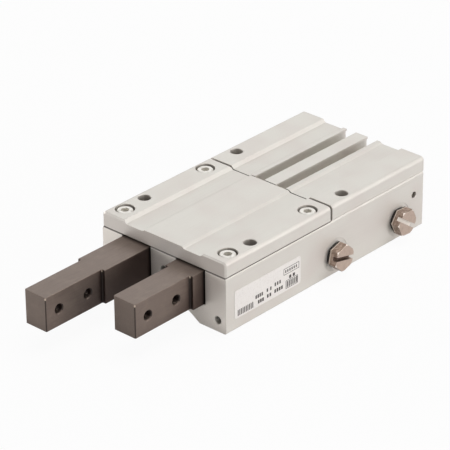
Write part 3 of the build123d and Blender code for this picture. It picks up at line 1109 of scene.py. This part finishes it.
@dataclass
class TappedThread:
    """The thread inside a tapped hole, as one helical ridge on its wall.

    Attributes:
        name: The piece's name.
        start: The middle of the hole's mouth.
        axis: The way into the hole.
        depth: How deep the thread goes, in metres.
        radius: The hole's radius.
        pitch: The thread's pitch.
        segments: Flats to one turn.
        ridge: The ridge's reach from its middle, as a share of the pitch.
        stand: How far its middle stands out of the wall, as a share of that reach.
    """

    name: str
    start: Vector
    axis: Vector
    depth: float
    radius: float
    pitch: float
    segments: int = 28
    ridge: float = 0.34
    stand: float = 0.3

    def build(self) -> bpy.types.Object:
        """Models the ridge as a triangle carried round and along the hole.

        Returns:
            The ridge.
        """
        half = self.ridge * self.pitch
        piece = Bench.start(
            bpy.ops.mesh.primitive_circle_add,
            vertices=3,
            radius=half,
            fill_type="NOTHING",
            location=(self.radius - self.stand * half, 0.0, half),
            rotation=(math.radians(90), math.radians(90), 0.0),
        )
        bpy.ops.object.mode_set(mode="OBJECT")
        helix = piece.modifiers.new("helix", "SCREW")
        helix.axis = "Z"
        helix.screw_offset = self.pitch
        helix.steps = self.segments
        helix.render_steps = self.segments
        helix.iterations = int((self.depth - 2 * half) / self.pitch)
        bpy.ops.object.modifier_apply(modifier=helix.name)
        bpy.ops.object.mode_set(mode="EDIT")
        bpy.ops.mesh.select_all(action="DESELECT")
        bpy.ops.mesh.select_non_manifold()
        bpy.ops.mesh.edge_face_add()
        turn = Vector((0.0, 0.0, 1.0)).rotation_difference(self.axis).to_matrix().to_4x4()
        piece.matrix_world = Matrix.Translation(self.start) @ turn
        return Bench.leave(piece, self.name)


@dataclass
class TappedHoles:
    """Every threaded hole that shows, at the places that the record's mounts give.

    Attributes:
        shop: Where its finishes come from.
        finger_steel: The finish of the threads in the fingers.
        aluminium: The finish of the threads in the housing.
        fine_pitch: The pitch in the front face, in metres.
        finger_pitch: The pitch in the fingers.
        port_pitch: The pitch in the ports.
        countersink: The depth of the finger holes' countersinks.
        front_countersink: The depth of the front holes' countersinks.
        mounts: The record's mounts by name.
    """

    shop: Shop
    finger_steel: Finish
    aluminium: Finish = AnodisedAluminium("thread_anodised", tone(200, 196, 189), 0.4, 0.6)
    fine_pitch: float = 0.45 * MM
    finger_pitch: float = 0.5 * MM
    port_pitch: float = 0.8 * MM
    countersink: float = 0.25 * MM
    front_countersink: float = 0.2 * MM
    mounts: dict[str, Mapping] = field(
        default_factory=lambda: {mount["name"]: mount for mount in frame["record"]["mounts"]}
    )

    def build(self) -> None:
        """Builds the threads of the fingers, the front face and the left ports."""
        for side, body in (("left", Body.LEFT_FINGER), ("right", Body.RIGHT_FINGER)):
            self._finger(side, body)
        self._front_face()
        self._ports()

    def _finger(self, side: str, body: Body) -> None:
        """Builds the threads of the two holes across one finger's tip.

        Args:
            side: Left or right.
            body: The body that the finger is on.
        """
        mount = self.mounts[side + "_finger_holes"]
        face = Vector(mount["pos_m"])
        inward = -Vector(mount["axis"])
        low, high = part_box(side + "_finger")
        depth = 2 * abs((low.x + high.x) / 2 - face.x) - 2 * self.countersink
        half_pitch = mount["dims"]["spacing_x_mm"] * MM / 2
        for number, step in enumerate((-half_pitch, half_pitch), start=1):
            mouth = face + Vector((0.0, step, 0.0)) + inward * self.countersink
            radius = mount["dims"]["hole_r_mm"] * MM
            name = f"{side}_finger_thread_{number}"
            thread = TappedThread(name, mouth, inward, depth, radius, self.finger_pitch)
            self.shop.fit(thread.build(), body, self.finger_steel, "finger_steel")

    def _front_face(self) -> None:
        """Builds the threads of the three small holes in the front face."""
        sides = self.mounts["front_side_holes"]
        middle = self.mounts["front_middle_hole"]
        depth = middle["dims"]["length_mm"] * MM
        radius = sides["dims"]["hole_r_mm"] * MM
        half = sides["dims"]["spacing_x_mm"] * MM / 2
        into = Vector((0.0, 1.0, 0.0))
        mouths = {
            "left": Vector(sides["pos_m"]) - Vector((half, 0.0, 0.0)),
            "right": Vector(sides["pos_m"]) + Vector((half, 0.0, 0.0)),
            "middle": Vector(middle["pos_m"]) - into * depth / 2,
        }
        for place, mouth in mouths.items():
            name = f"front_thread_{place}"
            start = mouth + into * self.front_countersink
            thread = TappedThread(name, start, into, depth, radius, self.fine_pitch)
            self.shop.fit(thread.build(), Body.HOUSING, self.aluminium, "housing_aluminium")

    def _ports(self) -> None:
        """Builds the threads of the two open ports on the left side."""
        for place in ("front", "rear"):
            mount = self.mounts[f"left_port_{place}"]
            depth = mount["dims"]["length_mm"] * MM
            into = -Vector(mount["axis"])
            mouth = Vector(mount["pos_m"]) - into * depth / 2
            radius = mount["dims"]["r_mm"] * MM
            thread = TappedThread(f"port_thread_{place}", mouth, into, depth, radius, self.port_pitch)
            self.shop.fit(thread.build(), Body.HOUSING, self.aluminium, "housing_aluminium")


@dataclass
class Casing:
    """The housing, its cover plate and what closes them.

    Attributes:
        shop: Where its finishes come from.
        screw: The cover screws' finish.
        slot_light_and_shade: The painted light on the slot's floor in each port plug: painted shade in the
            front one, a painted highlight in the rear one.
        slot_depth: How far in from a plug's end a face counts as its slot's floor, in metres.
        gasket: The finish of the rings under the plugs.
        ball: The passage ball's finish.
    """

    shop: Shop
    screw: TurnedMetal = TurnedMetal(
        "screw_plated", tone(236, 233, 226), 0.34, 0.45, shadow=tone(150, 142, 132)
    )
    slot_light_and_shade: dict[str, Colour] = field(
        default_factory=lambda: {"front": tone(96, 78, 68), "rear": tone(250, 242, 232)}
    )
    slot_depth: float = 0.6 * MM
    gasket: MouldedRubber = MouldedRubber(
        "gasket_black", tone(20, 16, 14), 0.6, 0.0, dust=tone(48, 42, 38)
    )
    ball: TurnedMetal = TurnedMetal("ball_steel", tone(120, 114, 106), 0.25, 1.0)

    def aluminium(self, name: str, colour: Colour, milled: Colour) -> AnodisedAluminium:
        """Gives the anodised finish, with a painted shade line along the seam at the underside of the
        cover plate.

        Args:
            name: The material's name.
            colour: The main colour.
            milled: The colour of its milled ends, lighter on the housing than on the plate as painted
                light.

        Returns:
            The finish.
        """
        low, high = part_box("guide_cover_plate")
        return AnodisedAluminium(
            name, colour, 0.47, 0.55, milled=milled, joint_z=low.z, joint_end=high.y
        )

    def build(self) -> None:
        """Dresses the casing's nodes."""
        # Same aluminium on both: the housing's milled ends take a lighter colour than the plate's, as
        # painted light.
        housing = self.aluminium("housing_anodised", tone(222, 219, 212), tone(250, 243, 235))
        plate = self.aluminium("plate_anodised", tone(222, 219, 212), tone(224, 217, 210))
        self.shop.dress("housing", housing)
        self.shop.dress("guide_cover_plate", plate)
        self.shop.dress("cover_screws", self.screw)
        self.shop.dress("passage_ball", self.ball)
        for place in ("front", "rear"):
            self.shop.dress(f"port_plug_{place}", self._plug(place))
            self.shop.dress(f"port_gasket_{place}", self.gasket)

    def _plug(self, place: str) -> TurnedMetal:
        """Gives the nickel finish of one port plug, turned about its own axis.

        Args:
            place: Front or rear.

        Returns:
            The finish.
        """
        low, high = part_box(f"port_plug_{place}")
        return TurnedMetal(
            f"plug_nickel_{place}",
            tone(204, 184, 170),
            0.36,
            0.85,
            shadow=tone(160, 138, 124),
            edge=tone(250, 240, 230),
            centre=tuple((low + high) / 2),
            across=True,
            flats=tone(146, 127, 115),
            slot=self.slot_light_and_shade[place],
            slot_x=high.x - self.slot_depth,
            seat_x=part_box(f"port_gasket_{place}")[1].x,
        )


@dataclass
class Cylinder:
    """One cylinder's own pieces, with its finger.

    Attributes:
        shop: Where its finishes come from.
        side: Left or right.
        steel: The finger's finish.
    """

    shop: Shop
    side: str
    steel: TreatedSteel

    def build(self) -> None:
        """Dresses the cylinder's nodes."""
        for name, finish in self._finishes().items():
            self.shop.dress(f"{self.side}_{name}", finish)

    def _finishes(self) -> dict[str, Finish]:
        """Picks the finishes, with the turned ones centred on the cylinder.

        Returns:
            Each node's finish, by the node's name without its side.
        """
        low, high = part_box(f"{self.side}_head_cover")
        centre = tuple((low + high) / 2)
        turned = f"{self.side}_turned"
        brass = TurnedMetal(
            f"{turned}_brass", tone(196, 170, 112), 0.35, 1.0, shadow=tone(140, 112, 62), centre=centre
        )
        light = TurnedMetal(f"{turned}_aluminium", tone(206, 201, 193), 0.38, 0.7, centre=centre)
        chrome = TurnedMetal(f"{turned}_chrome", tone(214, 214, 214), 0.16, 1.0, centre=centre)
        plated = TurnedMetal(f"{turned}_plated", tone(190, 187, 180), 0.34, 1.0, centre=centre)
        phosphate = TurnedMetal(
            "ring_phosphate", tone(84, 78, 72), 0.5, 0.8, shadow=tone(52, 47, 43), edge=tone(128, 122, 116)
        )
        magnet = MouldedRubber("magnet_bonded", tone(70, 68, 66), 0.55, 0.4)
        rubber = MouldedRubber("seal_black", tone(34, 33, 32), 0.55, 0.0)
        bumper = MouldedRubber("bumper_brown", tone(92, 66, 48), 0.5, 0.0)
        return {
            "finger": self.steel,
            "piston_rod": chrome,
            "piston": light,
            "piston_seal": rubber,
            "magnet": magnet,
            "magnet_retainer": plated,
            "piston_nut": plated,
            "rod_cover": brass,
            "rod_cover_seal": rubber,
            "rod_seal": rubber,
            "rod_bumper": bumper,
            "head_bumper": bumper,
            "head_cover": light,
            "head_cover_seal": rubber,
            "retaining_ring": phosphate,
        }


@dataclass
class Lamp:
    """One soft lamp that looks at the object.

    Attributes:
        name: The lamp's name.
        place: Where it hangs, in metres.
        width: The side of its square, in metres.
        power: Its power, in watts.
        colour: Its colour.
    """

    name: str
    place: Triple
    width: float
    power: float
    colour: Colour = (1.0, 1.0, 1.0)

    def build(self) -> None:
        """Hangs the lamp."""
        light = bpy.data.lights.new(self.name, "AREA")
        light.size = self.width
        light.energy = self.power
        light.color = self.colour
        lamp = bpy.data.objects.new(self.name, light)
        lamp.location = self.place
        lamp.rotation_euler = (-Vector(self.place)).to_track_quat("-Z", "Y").to_euler()
        bpy.context.scene.collection.objects.link(lamp)


@dataclass
class Camera:
    """The camera at the photograph's angle.

    Attributes:
        target: The point that shows in the middle of the picture, in metres.
        azimuth: Degrees round from the front.
        elevation: Degrees above the horizon.
        roll: Degrees that the picture leans.
        distance: From the target, in metres.
        focal_pixels: The focal length in pixels of a picture as wide as picture_pixels.
        picture_pixels: The picture's width.
        sensor: The sensor's width, in millimetres.
        near: The nearest that it sees, in metres.
    """

    target: Triple = (-5.25 * MM, -1.18 * MM, 10.0 * MM)
    azimuth: float = 42.44
    elevation: float = 28.18
    roll: float = 0.5
    distance: float = 0.708
    focal_pixels: float = 2753.0
    picture_pixels: int = 450
    sensor: float = 36.0
    near: float = 0.05

    def build(self) -> None:
        """Places the camera and makes it the scene's own."""
        turn, rise, lean = (math.radians(a) for a in (self.azimuth, self.elevation, self.roll))
        level = math.cos(rise)
        back = Vector((math.sin(turn) * level, -math.cos(turn) * level, math.sin(rise)))
        right = Vector((math.cos(turn), math.sin(turn), 0.0))
        up = back.cross(right)
        leaned_right = right * math.cos(lean) - up * math.sin(lean)
        leaned_up = right * math.sin(lean) + up * math.cos(lean)
        lens = bpy.data.cameras.new("photo_camera")
        lens.sensor_width = self.sensor
        lens.lens = self.focal_pixels * self.sensor / self.picture_pixels
        lens.clip_start = self.near
        camera = bpy.data.objects.new("photo_camera", lens)
        turned = Matrix((leaned_right, leaned_up, back)).transposed().to_4x4()
        camera.matrix_world = Matrix.Translation(Vector(self.target) + back * self.distance) @ turned
        bpy.context.scene.collection.objects.link(camera)
        bpy.context.scene.camera = camera


@dataclass
class Studio:
    """The pale floor, the soft lamps and the white surround.

    Attributes:
        floor_width: The floor's side, in metres.
        floor_colour: Its colour, which lights the object from below.
        floor_low: The colour of its faint marks, as a share of that colour.
        floor_marks: Those marks.
        floor_roughness: Its roughness.
        seen_white: The share of plain white that the camera sees in the floor; the rest keeps
            the object's shadow.
        mirrored: How white a glossy surface shows the floor and the surround.
        ambient: The level of light from all around.
        lamps: The lamps.
    """

    floor_width: float = 6.0
    floor_colour: Colour = (0.75, 0.75, 0.75)
    floor_low: float = 0.98
    floor_marks: Marks = Marks(0.4)
    floor_roughness: float = 0.9
    seen_white: float = 0.94
    mirrored: float = 0.2
    ambient: float = 0.27
    lamps: tuple[Lamp, ...] = (
        Lamp("overhead_lamp", (0.1, 0.2, 1.2), 0.8, 6.2),
        Lamp("rear_left_lamp", (-0.8, 0.85, 0.65), 0.7, 1.5),
        Lamp("rear_right_lamp", (0.55, 0.75, 0.6), 0.6, 1.6, (1.0, 0.985, 0.98)),
        Lamp("right_lamp", (1.1, 0.3, 0.2), 0.5, 5.6, (1.0, 0.945, 0.95)),
        Lamp("front_lamp", (0.7, -1.0, 0.35), 0.5, 1.7, (1.0, 0.97, 0.95)),
        Lamp("left_lamp", (-1.1, -0.5, 0.12), 0.4, 9.6),
    )

    def build(self) -> None:
        """Sets up the whole studio."""
        bpy.context.scene.view_settings.view_transform = "Standard"
        self._floor()
        self._surround()
        for lamp in self.lamps:
            lamp.build()
        Camera().build()

    def _floor(self) -> None:
        """Lays the floor, which shows near white to the camera and keeps a little shadow."""
        floor = Bench.start(bpy.ops.mesh.primitive_plane_add, size=self.floor_width)
        Bench.leave(floor, "floor")
        paint = Paint("floor_paper")
        low = tuple(part * self.floor_low for part in self.floor_colour)
        colour = paint.mix(self.floor_colour, low, paint.noise(self.floor_marks))
        paint.set(Base_Color=colour, Roughness=self.floor_roughness)
        lit = Value(paint, paint.shader.outputs["BSDF"])
        glow = paint.node("ShaderNodeEmission", {}, {})
        white = paint.background(self.mirrored) * self.seen_white
        both = paint.node("ShaderNodeMixShader", {}, {"Fac": white, 1: lit, 2: glow})
        paint.feed(paint.tree.nodes["Material Output"].inputs["Surface"], both)
        floor.data.materials.append(paint.material)

    def _surround(self) -> None:
        """Makes the world: white where it is seen, and a plain level of light elsewhere."""
        world = bpy.data.worlds.new("surround")
        world.use_nodes = True
        bpy.context.scene.world = world
        graph = Graph(world.node_tree)
        strength = graph.background(self.mirrored) * (1.0 - self.ambient) + self.ambient
        background = graph.tree.nodes["Background"]
        graph.feed(background.inputs["Color"], (1.0, 1.0, 1.0, 1.0))
        graph.feed(background.inputs["Strength"], strength)


def main() -> None:
    """Builds every class in order."""
    logging.basicConfig(level=logging.INFO, format="%(name)s %(message)s")
    shop = Shop()
    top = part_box("left_finger")[1].z
    steel = TreatedSteel("finger_treated", tone(124, 110, 101), 0.38, 0.55, 0.06 * MM, top=top)
    Studio().build()
    Casing(shop).build()
    for side in ("left", "right"):
        Cylinder(shop, side, steel).build()
    SideLabel(shop).build()
    TappedHoles(shop, steel).build()


if __name__ == "__main__":
    main()
